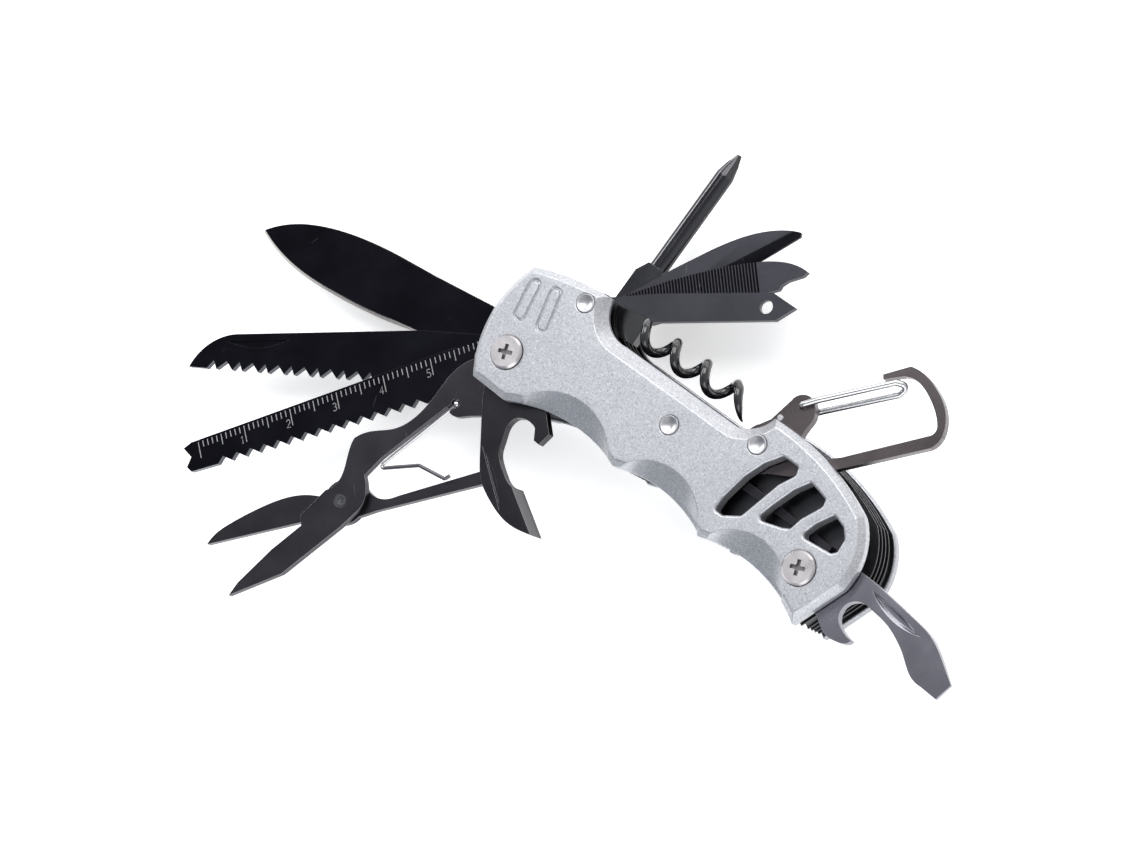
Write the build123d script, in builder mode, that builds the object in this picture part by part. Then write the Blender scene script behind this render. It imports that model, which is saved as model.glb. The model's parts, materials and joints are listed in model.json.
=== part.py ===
"""Folding multi tool: two aluminium scales, six tool layers between thin liners, and a folding carabiner.

The tool lies on its rear scale. X runs along the handle from the head end to the tail end, Y points to the
back edge, and Z goes up through the layers to the front scale. Lengths are in millimetres.
Outlines of handle plates are drawn from the head screw; outlines of tools are drawn from their own pivot,
with the blade along local +X, and each tool's plane turns it to the angle at which it stands open.
"""

from build123d import *
import os
from math import cos, radians, sin

os.makedirs("parts", exist_ok=True)

# ---------------------------------------------------------------- driving dimensions
SCREW_PITCH = 71.0
HEAD = (-SCREW_PITCH / 2, -3.0)
TAIL_X = SCREW_PITCH
TOOL_RIVET = (7.4, 15.7)
SPRING_RIVET = (35.0, 6.8)
RING_RIVET = (51.1, 13.2)

SCALE_T = 3.0
RIM_BEVEL = 1.2
LINER_T = 0.4
GAP = 0.05
LAYER_T = {"knife": 2.4, "saw": 1.5, "ruler": 1.5, "needle": 1.5, "scissors": 3.2, "opener": 2.1}

BARREL_R = 2.0
BARREL_HEAD_R = 3.2
BARREL_HEAD_T = 1.0
SCREW_HEAD_R = 3.2
SCREW_HEAD_T = 1.1
SCREW_PROUD = 0.7
SHANK_R = 1.4
BORE_R = 1.5
RIVET_R = 1.5
RIVET_HEAD_R = 1.85
RIVET_HEAD_T = 0.8
RUN = 0.05
LINER_INSET = 0.35
BARREL_TOP = 19.4
BORE_FLOOR = 6.0
SCREW_TIP_Z = 8.0
CROSS_AT = 20.0
SPACER_R = 4.0

TANG_R = 4.6
TANG_HOLE_R = BARREL_R + RUN
DRIVER_TANG_R = 4.8
BACK_TANG_R = 3.4
BACK_HOLE_R = RIVET_R + RUN
RING_TANG_R = 4.6
THIN_TOOL_T = 1.4
KNIFE_Z = 3.6
KNIFE_T = 2.0
OPENER_T = 2.0
PHILLIPS_W = 3.8
PHILLIPS_T = 2.3
FULLER_DEPTH = 0.5
REAMER_FACET_TURN = 2.5

SCISSORS_T = 1.45
SCISSORS_A_Z = 13.55
SCISSORS_B_Z = 12.0
SCISSORS_PIN = (43.2, -0.7)
SCISSORS_PIN_R = 1.2
WIRE_R = 0.35
WIRE_Z = 14.2
WIRE_END = (14.7, -1.3)
WIRE_BEND = (32.6, -1.2)
SPRING_BALL_R = 0.75
SPRING_SEAT_R = 0.85

CORK_TANG_Z = 12.5
CORK_TANG_T = 2.4
CORK_AXIS_Z = 14.6
WORM_START = 8.4
WORM_TURNED = -60.0
WORM_SIDE = 1.4
WORM_R = 2.05
WORM_WIRE_R = 0.9
WORM_PITCH = 7.2
WORM_TURNS = 3.25
# The worm's point: distance along the corkscrew, to its left and height, then the wire's radius towards the tip.
WORM_POINT = [(33.1, 2.3, 16.4), (33.8, 1.2, 16.5), (34.6, 0.1, 16.1), (35.4, -1.0, 15.4), (36.1, -1.6, 14.7)]
POINT_R = [0.9, 0.89, 0.84, 0.72, 0.5, 0.15]

RING_PIN = (3.75, 4.95)
RING_PIN_R = 0.55
GATE_EYE = (8.0, 6.2)
GATE_R = 0.6
GATE_OVER_Z = 18.18
GATE_UNDER_Z = 14.93

# angle of each tool from the handle's axis, as it stands open
KNIFE_AT = -171.4
SAW_AT = -147.5
RULER_AT = -132.5
SCISSORS_AT = -107.8
OPENER_AT = -45.0
DRIVER_AT = 0.0
NEEDLE_AT = 34.8
FILE_AT = 45.7
REAMER_AT = 57.2
PHILLIPS_AT = 89.2
CORKSCREW_AT = 1.0
RING_AT = 45.0

# height of each layer's floor, from the rear scale upwards
LAYER_Z = {}
LINER_Z = [SCALE_T]
for layer, thickness in LAYER_T.items():
    LAYER_Z[layer] = LINER_Z[-1] + LINER_T
    LINER_Z.append(LAYER_Z[layer] + thickness)
FRONT_Z = LINER_Z[-1] + LINER_T
TOP_Z = FRONT_Z + SCALE_T


# ---------------------------------------------------------------- shared helpers
def handle_plane(z):
    """Plane at height z with its origin on the head screw's axis."""
    return Plane(origin=(HEAD[0], HEAD[1], z))


def tool_plane(pivot, angle, z):
    """Plane at height z on a pivot given from the head screw, turned so that local +X runs along the tool."""
    turn = radians(angle)
    origin = (HEAD[0] + pivot[0], HEAD[1] + pivot[1], z)
    return Plane(origin=origin, x_dir=(cos(turn), sin(turn), 0), z_dir=(0, 0, 1))


def side_plane(pivot, angle, z):
    """Upright plane through a tool's centre line: local +X along the tool, local +Y up."""
    turn = radians(angle)
    origin = (HEAD[0] + pivot[0], HEAD[1] + pivot[1], z)
    return Plane(origin=origin, x_dir=(cos(turn), sin(turn), 0), z_dir=(sin(turn), -cos(turn), 0))


def across_plane(pivot, angle, z, along):
    """Upright plane square to a tool at a distance along it: local +X to the tool's left, local +Y up."""
    turn = radians(angle)
    origin = (
        HEAD[0] + pivot[0] + along * cos(turn),
        HEAD[1] + pivot[1] + along * sin(turn),
        z,
    )
    return Plane(origin=origin, x_dir=(-sin(turn), cos(turn), 0), z_dir=(cos(turn), sin(turn), 0))


def point_on_tool(pivot, angle, along, left):
    """Point given along a tool and to its left, counted from the head screw."""
    turn = radians(angle)
    return (pivot[0] + along * cos(turn) - left * sin(turn), pivot[1] + along * sin(turn) + left * cos(turn))


def save(builder, name):
    """Labels a finished piece and writes its STEP file."""
    builder.part.label = name
    export_step(builder.part, "parts/" + name + ".step")


def handle_face(z, inset=0.0):
    """Face of the scales' and liners' outline at height z, drawn in by inset."""
    with BuildSketch(handle_plane(z)) as face:
        with BuildLine():
            ThreePointArc((-6.0, 15.6), (2.6, 18.1), (10.6, 19.1))
            ThreePointArc((10.6, 19.1), (12.6, 15.2), (18.0, 13.5))
            Line((18.0, 13.5), (45.0, 13.6))
            ThreePointArc((45.0, 13.6), (48.2, 15.4), (50.2, 18.7))
            ThreePointArc((50.2, 18.7), (63.8, 17.8), (75.0, 14.0))
            ThreePointArc((75.0, 14.0), (79.0, 8.4), (79.7, 1.5))
            Line((79.7, 1.5), (75.6, -8.7))
            ThreePointArc((75.6, -8.7), (62.0, -4.6), (51.3, -6.2))
            ThreePointArc((51.3, -6.2), (41.0, -3.5), (30.0, -5.2))
            ThreePointArc((30.0, -5.2), (19.0, -3.6), (4.5, -7.4))
            Line((4.5, -7.4), (-3.6, -7.2))
            ThreePointArc((-3.6, -7.2), (-7.9, 4.0), (-6.0, 15.6))
        make_face()
        if inset > 0:
            offset(amount=-inset)
    return face.sketch


def drill(z, points, radius):
    """Round holes right through the piece at points given from the head screw."""
    with Locations(handle_plane(z)):
        with Locations(*points):
            Hole(radius)


WINDOWS = [
    [(56.4, 14.2), (59.9, 14.2), (60.4, 12.8), (58.7, 9.7), (57.6, 5.9), (56.3, 1.4), (53.3, -0.5),
     (51.5, -0.5), (51.5, 2.1), (52.6, 7.4), (54.2, 11.2)],
    [(63.6, 13.3), (67.6, 12.4), (67.9, 11.1), (65.9, 7.2), (65.3, 4.7), (64.0, 4.0), (60.0, 2.8),
     (59.2, 3.3), (60.1, 6.2), (61.8, 10.6)],
    [(70.7, 11.1), (73.3, 10.3), (74.8, 8.7), (75.0, 6.2), (74.2, 5.4), (68.6, 4.8), (67.9, 5.3), (68.8, 8.0)],
]


def window_faces(z, grow=0.0):
    """Faces of the three swept windows near the tail, at height z."""
    with BuildSketch(handle_plane(z)) as openings:
        for corners in WINDOWS:
            with BuildLine():
                Polyline(*corners, close=True)
            make_face()
        fillet(openings.vertices(), radius=0.55)
        if grow > 0:
            offset(amount=grow)
    return openings.sketch


# Finger grooves: centre along the handle, half length and depth at the inner face, half length and depth on top.
GROOVES = [(18.5, 11.0, -6.3, -3.4, 10.5, 0.9), (41.0, 10.6, -5.6, -3.3, 9.6, 0.9), (62.3, 9.4, -6.0, -4.5, 8.8, 0.2)]
BELLY_OUT = -13.0


def groove_face(z, middle, half, ends, top):
    """Face of one finger groove at height z: everything below an arc that crosses the belly edge."""
    with BuildSketch(handle_plane(z)) as face:
        with BuildLine():
            ThreePointArc((middle - half, ends), (middle, top), (middle + half, ends))
            Polyline(
                (middle + half, ends),
                (middle + half, BELLY_OUT),
                (middle - half, BELLY_OUT),
                (middle - half, ends),
            )
        make_face()
    return face.sketch


def notch_face(z):
    """Face over the back notch, from its curved edge outwards."""
    with BuildSketch(handle_plane(z)) as face:
        with BuildLine():
            ThreePointArc((11.2, 18.4), (12.9, 15.4), (18.0, 13.7))
            Line((18.0, 13.7), (45.0, 13.8))
            ThreePointArc((45.0, 13.8), (47.9, 15.5), (49.6, 18.4))
            Polyline((49.6, 18.4), (49.6, 24.0), (11.2, 24.0), (11.2, 18.4))
        make_face()
    return face.sketch


def scale_shape():
    """Front scale: bevelled rim, finger grooves, a wide bevel along the back notch and three windows."""
    bevel_floor = TOP_Z - RIM_BEVEL
    # the tapered solid narrows downwards from its sketch, so it is turned over about that height
    narrowing_down = extrude(handle_face(bevel_floor), amount=RIM_BEVEL, taper=45)
    rim = mirror(narrowing_down, about=Plane.XY.offset(bevel_floor))
    with BuildPart() as shell:
        extrude(handle_face(FRONT_Z), amount=SCALE_T - RIM_BEVEL)
        add(rim)
        extrude(notch_face(FRONT_Z + 0.5), amount=SCALE_T - 0.5, taper=-45, mode=Mode.SUBTRACT)
        for middle, low_half, low_ends, low_top, high_half, high_top in GROOVES:
            low = groove_face(FRONT_Z + 0.4, middle, low_half, low_ends, low_top)
            high = groove_face(TOP_Z + 0.01, middle, high_half, -4.6, high_top)
            loft([low.face(), high.face()], mode=Mode.SUBTRACT)
        extrude(window_faces(FRONT_Z), amount=SCALE_T, mode=Mode.SUBTRACT)
        for wire in shell.faces().sort_by(Axis.Z)[-1].inner_wires():
            chamfer(wire.edges(), length=0.3)
        drill(TOP_Z, [(0, 0), (TAIL_X, 0)], BORE_R)
        drill(TOP_Z, [TOOL_RIVET, SPRING_RIVET, RING_RIVET], RIVET_R)
    return shell.part


def slot_ring(z, start, end):
    """Ring round the raised island of an embossed slot."""
    run = Vector(*end) - Vector(*start)
    middle = (Vector(*end) + Vector(*start)) / 2
    angle = Vector(1, 0).get_signed_angle(run)
    with BuildSketch(handle_plane(z)) as ring:
        with Locations(Location((middle.X, middle.Y, 0), (0, 0, angle))):
            SlotCenterToCenter(run.length, 2.7)
            SlotCenterToCenter(run.length, 1.7, mode=Mode.SUBTRACT)
    return ring.sketch


blank = scale_shape()

with BuildPart() as front_scale:
    add(blank)
    for start, end in [((-2.3, 12.8), (-3.2, 7.1)), ((2.8, 13.8), (1.3, 7.8))]:
        extrude(slot_ring(TOP_Z - 0.35, start, end), amount=0.4, mode=Mode.SUBTRACT)
    with Locations(handle_plane(TOP_Z)):
        with Locations((0, 0), (TAIL_X, 0)):
            CounterBoreHole(BORE_R, SCREW_HEAD_R, SCREW_HEAD_T - SCREW_PROUD)
        with Locations(TOOL_RIVET, SPRING_RIVET, RING_RIVET):
            CounterBoreHole(RIVET_R, RIVET_HEAD_R, RIVET_HEAD_T)
    with BuildSketch(handle_plane(FRONT_Z)):
        with Locations((0, 0), (TAIL_X, 0)):
            Circle(BARREL_R)
    extrude(amount=1.5, mode=Mode.SUBTRACT)
save(front_scale, "front_scale")

with BuildPart() as rear_scale:
    add(mirror(blank, about=Plane.XY.offset(TOP_Z / 2)))
    with BuildSketch(handle_plane(0)):
        with Locations((0, 0), (TAIL_X, 0)):
            Circle(BARREL_R)
    extrude(amount=SCALE_T, mode=Mode.SUBTRACT)
    with BuildSketch(handle_plane(0)):
        with Locations((0, 0), (TAIL_X, 0)):
            Circle(BARREL_HEAD_R)
    extrude(amount=BARREL_HEAD_T, mode=Mode.SUBTRACT)
    with BuildSketch(handle_plane(0)):
        with Locations(TOOL_RIVET, SPRING_RIVET, RING_RIVET):
            Circle(RIVET_HEAD_R)
    extrude(amount=RIVET_HEAD_T, mode=Mode.SUBTRACT)
save(rear_scale, "rear_scale")


# ---------------------------------------------------------------- liners, springs and fasteners
def tail_recess(z):
    """Face outside the drawn-in tail end of the upper layers."""
    with BuildSketch(handle_plane(z)) as face:
        with BuildLine():
            Spline((54.5, 18.9), (58.5, 16.9), (66.0, 15.6), (73.0, 12.8), (76.7, 9.0), (77.9, 3.5), (79.6, -0.6))
            Polyline((79.6, -0.6), (84.0, -0.6), (84.0, 22.0), (54.5, 22.0), (54.5, 18.9))
        make_face()
    return face.sketch


for number, z in enumerate(LINER_Z, start=1):
    with BuildPart() as liner:
        extrude(handle_face(z, LINER_INSET), amount=LINER_T)
        drill(z + LINER_T, [(0, 0), (TAIL_X, 0)], BARREL_R)
        drill(z + LINER_T, [TOOL_RIVET, SPRING_RIVET, RING_RIVET], RIVET_R)
        if z > LAYER_Z["scissors"]:
            extrude(tail_recess(z), amount=LINER_T, mode=Mode.SUBTRACT)
        if z == LINER_Z[-1]:
            extrude(window_faces(z, 0.15), amount=LINER_T, mode=Mode.SUBTRACT)
    save(liner, "liner_" + str(number))

for layer in ["knife", "saw", "ruler", "needle", "scissors"]:
    floor = LAYER_Z[layer]
    with BuildPart() as back_spring:
        with BuildSketch(handle_plane(floor)):
            with BuildLine():
                Polyline((67.6, 0.9), (66.0, 1.4), (58.0, 3.2), (45.0, 4.6), (28.0, 5.4), (0.5, 5.3), (0.5, 8.8))
                Polyline((0.5, 8.8), (4.0, 10.0), (5.4, 11.9), (9.4, 11.9), (11.0, 10.3), (30.0, 10.2), (46.8, 10.3))
                Polyline((46.8, 10.3), (47.9, 11.3), (47.7, 13.6), (49.5, 16.5), (52.0, 17.6))
                Spline((52.0, 17.6), (62.0, 17.2), (72.0, 14.5), (76.0, 11.5), (79.0, 3.0))
                Polyline((79.0, 3.0), (75.4, -7.6), (74.3, -7.2), (74.3, -3.0), (71.0, -3.2))
                ThreePointArc((71.0, -3.2), (68.74, -2.26), (67.6, 0.9))
            make_face()
        extrude(amount=LAYER_T[layer])
        drill(floor + LAYER_T[layer], [(TAIL_X, 0)], BARREL_R)
        drill(floor + LAYER_T[layer], [SPRING_RIVET, RING_RIVET], RIVET_R)
        if layer == "scissors":
            extrude(tail_recess(floor), amount=LAYER_T[layer], mode=Mode.SUBTRACT)
    save(back_spring, "back_spring_" + layer)

with BuildPart() as back_spring_opener:
    with BuildSketch(handle_plane(LAYER_Z["opener"])):
        with BuildLine():
            Polyline((0.5, 5.3), (28.0, 5.4), (38.0, 5.2), (72.5, 5.0), (72.5, 6.3), (52.0, 6.9))
            Polyline((52.0, 6.9), (40.0, 8.2), (36.5, 9.6), (33.5, 9.6), (30.0, 8.2), (12.0, 8.6), (4.0, 9.6))
            Polyline((4.0, 9.6), (0.5, 8.8), (0.5, 5.3))
        make_face()
    extrude(amount=LAYER_T["opener"])
    drill(LAYER_Z["opener"] + LAYER_T["opener"], [SPRING_RIVET], RIVET_R)
save(back_spring_opener, "back_spring_opener")

with BuildPart() as barrels:
    with BuildSketch(handle_plane(0)):
        with Locations((0, 0), (TAIL_X, 0)):
            Circle(BARREL_HEAD_R)
    extrude(amount=BARREL_HEAD_T)
    with BuildSketch(handle_plane(BARREL_HEAD_T)):
        with Locations((0, 0), (TAIL_X, 0)):
            Circle(BARREL_R)
    extrude(amount=BARREL_TOP - BARREL_HEAD_T)
    with BuildSketch(handle_plane(BORE_FLOOR)):
        with Locations((0, 0), (TAIL_X, 0)):
            Circle(BORE_R)
    extrude(amount=BARREL_TOP - BORE_FLOOR, mode=Mode.SUBTRACT)
    with BuildSketch(handle_plane(0)):
        with Locations((0, 0), (TAIL_X, 0)):
            Rectangle(4.2, 0.9)
    extrude(amount=0.6, mode=Mode.SUBTRACT)
save(barrels, "barrels")

with BuildPart() as screws:
    head_floor = TOP_Z + SCREW_PROUD - SCREW_HEAD_T
    with BuildSketch(handle_plane(head_floor)):
        with Locations((0, 0), (TAIL_X, 0)):
            Circle(SCREW_HEAD_R - 0.02)
    extrude(amount=SCREW_HEAD_T)
    chamfer(screws.faces().filter_by(Axis.Z).group_by(Axis.Z)[-1].edges(), length=0.4)
    with BuildSketch(handle_plane(SCREW_TIP_Z)):
        with Locations((0, 0), (TAIL_X, 0)):
            Circle(SHANK_R)
    extrude(amount=head_floor - SCREW_TIP_Z)
    with BuildSketch(handle_plane(head_floor + SCREW_HEAD_T - 0.75)):
        for centre in [(0, 0), (TAIL_X, 0)]:
            with Locations(Location((centre[0], centre[1], 0), (0, 0, CROSS_AT))):
                Rectangle(2.9, 0.75)
                Rectangle(0.75, 2.9)
                Circle(0.62)
    extrude(amount=0.8, mode=Mode.SUBTRACT)
save(screws, "screws")

with BuildPart() as rivets:
    with BuildSketch(handle_plane(0)):
        with Locations(TOOL_RIVET, SPRING_RIVET, RING_RIVET):
            Circle(RIVET_R)
    extrude(amount=TOP_Z)
    for z in (0, TOP_Z - RIVET_HEAD_T):
        with BuildSketch(handle_plane(z)):
            with Locations(TOOL_RIVET, SPRING_RIVET, RING_RIVET):
                Circle(RIVET_HEAD_R)
        extrude(amount=RIVET_HEAD_T)
    for centre in [TOOL_RIVET, SPRING_RIVET, RING_RIVET]:
        with Locations((HEAD[0] + centre[0], HEAD[1] + centre[1], TOP_Z + 1.6)):
            Sphere(1.8, mode=Mode.SUBTRACT)
save(rivets, "rivets")

with BuildPart() as head_spacer:
    with BuildSketch(handle_plane(LAYER_Z["needle"])):
        Circle(SPACER_R)
        Circle(BARREL_R, mode=Mode.SUBTRACT)
    extrude(amount=LAYER_T["needle"])
save(head_spacer, "head_spacer")

with BuildPart() as scissors_spacer:
    with BuildSketch(handle_plane(LAYER_Z["scissors"])):
        Circle(SPACER_R)
        Circle(BARREL_R, mode=Mode.SUBTRACT)
    extrude(amount=SCISSORS_A_Z - GAP - LAYER_Z["scissors"])
save(scissors_spacer, "scissors_spacer")

with BuildPart() as rivet_spacer:
    with BuildSketch(handle_plane(LAYER_Z["opener"])):
        with Locations(TOOL_RIVET):
            Circle(2.8)
            Circle(RIVET_R, mode=Mode.SUBTRACT)
    extrude(amount=LAYER_T["opener"])
save(rivet_spacer, "rivet_spacer")


# ---------------------------------------------------------------- tools on the head screw
def saw_teeth(first, last, count, crest_at, depth, lean, sway=0.0):
    """Points of a row of teeth, each crest followed by a gullet; sway moves every other crest towards the tip."""
    pitch = (last - first) / count
    points = []
    for index in range(count):
        crest_x = first + (index + sway * (1 - index % 2)) * pitch
        gullet_x = first + (index + lean) * pitch
        points.append((crest_x, crest_at(crest_x)))
        points.append((gullet_x, crest_at(gullet_x) - depth))
    points.append((last, crest_at(last)))
    return points


with BuildPart() as knife:
    with BuildSketch(tool_plane((0, 0), KNIFE_AT, KNIFE_Z)):
        with BuildLine():
            Spline((67.5, 0.0), (62.0, -3.9), (56.0, -6.0), (49.0, -7.2), (41.5, -7.6), (29.0, -7.2))
            Polyline((29.0, -7.2), (15.0, -7.0), (5.0, -4.6), (0.0, -4.6), (0.0, 4.4), (12.0, 3.0), (25.0, 3.6))
            Spline((25.0, 3.6), (32.5, 4.5), (40.0, 4.9), (47.0, 4.8), (53.0, 4.4), (60.0, 3.1), (67.5, 0.0))
        make_face()
        Circle(TANG_R)
        Circle(TANG_HOLE_R, mode=Mode.SUBTRACT)
    extrude(amount=KNIFE_T)
    rims = knife.edges().filter_by(GeomType.BSPLINE).filter_by(lambda e: e.length > 42.0)
    chamfer(rims, length=0.6)
save(knife, "knife")

with BuildPart() as saw:
    with BuildSketch(tool_plane((0, 0), SAW_AT, LAYER_Z["saw"] + GAP)):
        teeth = saw_teeth(32.7, 69.4, 13, lambda x: 2.8 - 0.063 * (x - 32.7), 1.7, 0.5, 0.24)
        with BuildLine():
            Spline((73.3, 0.2), (70.6, -3.4), (67.7, -5.3), (63.5, -6.3))
            Polyline((63.5, -6.3), (24.0, -7.2), (8.0, -6.2), (4.0, -4.6), (0.0, -4.6), (0.0, 4.4), (10.0, 3.2))
            Polyline((10.0, 3.2), *teeth, (73.3, 0.2))
        make_face()
        Circle(TANG_R)
        Circle(TANG_HOLE_R, mode=Mode.SUBTRACT)
    extrude(amount=THIN_TOOL_T)
    with BuildSketch(tool_plane((0, 0), SAW_AT, LAYER_Z["saw"] + GAP + THIN_TOOL_T - 0.5)):
        with BuildLine():
            Line((52.4, -5.2), (65.2, -4.8))
            ThreePointArc((65.2, -4.8), (58.7, -3.6), (52.4, -5.2))
        make_face()
    extrude(amount=1.0, mode=Mode.SUBTRACT)
save(saw, "saw")

with BuildPart() as ruler:
    with BuildSketch(tool_plane((0, 0), RULER_AT, LAYER_Z["ruler"] + GAP)):
        teeth = saw_teeth(22.0, 66.3, 15, lambda x: 1.6 + 0.02 * (x - 22.0), 1.25, 0.6)
        with BuildLine():
            Polyline((12.0, 3.4), *teeth, (72.2, 2.6), (73.0, 1.5), (71.8, -0.2), (73.2, -2.3), (71.4, -3.1))
            Polyline((71.4, -3.1), (15.0, -7.5), (6.0, -5.4), (0.0, -4.6), (0.0, 4.4), (12.0, 3.4))
        make_face()
        Circle(TANG_R)
        Circle(TANG_HOLE_R, mode=Mode.SUBTRACT)
    extrude(amount=THIN_TOOL_T)
save(ruler, "ruler")

with BuildPart() as scissors_blade:
    with BuildSketch(tool_plane((0, 0), SCISSORS_AT, SCISSORS_A_Z)):
        with BuildLine():
            Polyline((0.0, 4.6), (0.0, -5.0), (7.0, -6.0))
            Spline((7.0, -6.0), (12.5, -6.5), (18.0, -5.0), (27.2, -5.3), (31.4, -8.0), (34.5, -8.9))
            Spline((34.5, -8.9), (37.7, -6.7), (40.7, -4.4), (44.6, -4.3))
            Polyline((44.6, -4.3), (51.4, -3.5), (52.2, -1.8), (59.5, -1.8), (68.6, -0.9), (71.5, 0.0), (60.4, 3.4))
            Polyline((60.4, 3.4), (46.0, 3.5), (42.0, 3.2))
            Spline((42.0, 3.2), (39.4, 2.4), (37.5, 0.2), (36.7, -1.6))
            Polyline((36.7, -1.6), (32.2, -2.2), (16.5, -1.9), (16.6, -0.6))
            Spline((16.6, -0.6), (16.0, 0.9), (14.2, 2.2), (11.8, 4.0), (6.0, 4.6))
            Line((6.0, 4.6), (0.0, 4.6))
        make_face()
        Circle(TANG_R)
        Circle(TANG_HOLE_R, mode=Mode.SUBTRACT)
        with Locations(SCISSORS_PIN):
            Circle(SCISSORS_PIN_R + RUN, mode=Mode.SUBTRACT)
        with Locations(WIRE_END):
            Circle(SPRING_SEAT_R, mode=Mode.SUBTRACT)
        with Locations((WIRE_END[0] + 1.6, WIRE_END[1])):
            Rectangle(3.2, 0.9, mode=Mode.SUBTRACT)
    extrude(amount=SCISSORS_T)
save(scissors_blade, "scissors_blade")

with BuildPart() as scissors_lever:
    with BuildSketch(tool_plane((0, 0), SCISSORS_AT, SCISSORS_B_Z)):
        with BuildLine():
            Spline((70.3, -11.8), (67.5, -12.4), (64.8, -12.2), (58.3, -10.9), (50.5, -8.0), (46.0, -4.0))
            Line((46.0, -4.0), (38.2, -0.2))
            Spline((38.2, -0.2), (37.1, 3.3), (34.0, 5.2))
            Polyline((34.0, 5.2), (18.3, 11.8), (15.5, 13.2), (16.2, 15.4), (19.7, 13.9), (38.8, 4.9), (44.3, 2.8))
            Polyline((44.3, 2.8), (52.5, -3.1), (61.6, -7.6), (70.3, -11.8))
        make_face()
        with Locations(SCISSORS_PIN):
            Circle(4.3)
            Circle(SCISSORS_PIN_R + RUN, mode=Mode.SUBTRACT)
    extrude(amount=SCISSORS_T)
save(scissors_lever, "scissors_lever")

with BuildPart() as scissors_rivet:
    with BuildSketch(tool_plane((0, 0), SCISSORS_AT, LAYER_Z["scissors"] + 0.07)):
        with Locations(SCISSORS_PIN):
            Circle(SCISSORS_PIN_R)
    extrude(amount=LAYER_T["scissors"] - 0.14)
save(scissors_rivet, "scissors_rivet")

with BuildPart() as scissors_spring:
    wire_plane = tool_plane((0, 0), SCISSORS_AT, WIRE_Z)
    with BuildLine(wire_plane) as leg:
        Polyline(WIRE_END, (31.6, -1.35), (WIRE_BEND[0], WIRE_BEND[1] - 0.15))
    with BuildSketch(Plane(origin=leg.line @ 0, z_dir=leg.line % 0)):
        Circle(WIRE_R)
    sweep(path=leg.line, transition=Transition.ROUND)
    with Locations(leg.line @ 0):
        Sphere(SPRING_BALL_R)
save(scissors_spring, "scissors_spring")

with BuildPart() as scissors_spring_arm:
    with BuildLine(wire_plane) as arm:
        Polyline((WIRE_BEND[0] + 0.5, WIRE_BEND[1] + 0.55), (27.1, 3.5), (24.4, 8.9), (23.3, 9.0))
    with BuildSketch(Plane(origin=arm.line @ 0, z_dir=arm.line % 0)):
        Circle(WIRE_R)
    sweep(path=arm.line, transition=Transition.ROUND)
save(scissors_spring_arm, "scissors_spring_arm")

with BuildPart() as can_opener:
    with BuildSketch(tool_plane((0, 0), OPENER_AT, LAYER_Z["opener"] + GAP)):
        with BuildLine():
            Spline((0.0, -4.6), (4.4, -6.6), (9.0, -7.6), (14.3, -8.4), (18.0, -9.0), (21.1, -9.2), (25.9, -7.8),
                   (30.6, -4.9), (33.3, -1.3), (34.4, 0.8))
            Line((34.4, 0.8), (24.8, -1.8))
            Spline((24.8, -1.8), (22.8, -4.0), (21.1, -4.5), (17.0, -4.9), (15.2, -4.1), (12.3, -2.4),
                   (11.6, -0.8), (12.0, 0.6), (14.2, 2.5))
            Polyline((14.2, 2.5), (16.4, 2.0), (17.4, 2.9), (15.9, 5.2), (12.9, 5.1), (0.0, 4.6), (0.0, -4.6))
        make_face()
        Circle(TANG_R)
        Circle(TANG_HOLE_R, mode=Mode.SUBTRACT)
    extrude(amount=OPENER_T)
    rim = can_opener.edges().filter_by(GeomType.LINE).filter_by(lambda e: abs(e.length - 9.95) < 0.05)
    chamfer(rim.sort_by(Axis.Z)[-1], length=1.2)
    with BuildSketch(tool_plane((0, 0), OPENER_AT, LAYER_Z["opener"] + GAP + OPENER_T - 0.5)):
        with BuildLine():
            Line((16.0, -8.0), (27.5, -6.2))
            ThreePointArc((27.5, -6.2), (21.6, -6.3), (16.0, -8.0))
        make_face()
    extrude(amount=1.0, mode=Mode.SUBTRACT)
save(can_opener, "can_opener")


# ---------------------------------------------------------------- tool on the tail screw
def fuller_face(z, start, upper, end, lower):
    """Leaf-shaped face of the driver's scooped fuller at height z."""
    with BuildSketch(tool_plane((TAIL_X, 0), DRIVER_AT, z)) as leaf:
        with BuildLine():
            ThreePointArc(start, upper, end)
            ThreePointArc(end, lower, start)
        make_face()
    return leaf.sketch


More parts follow.
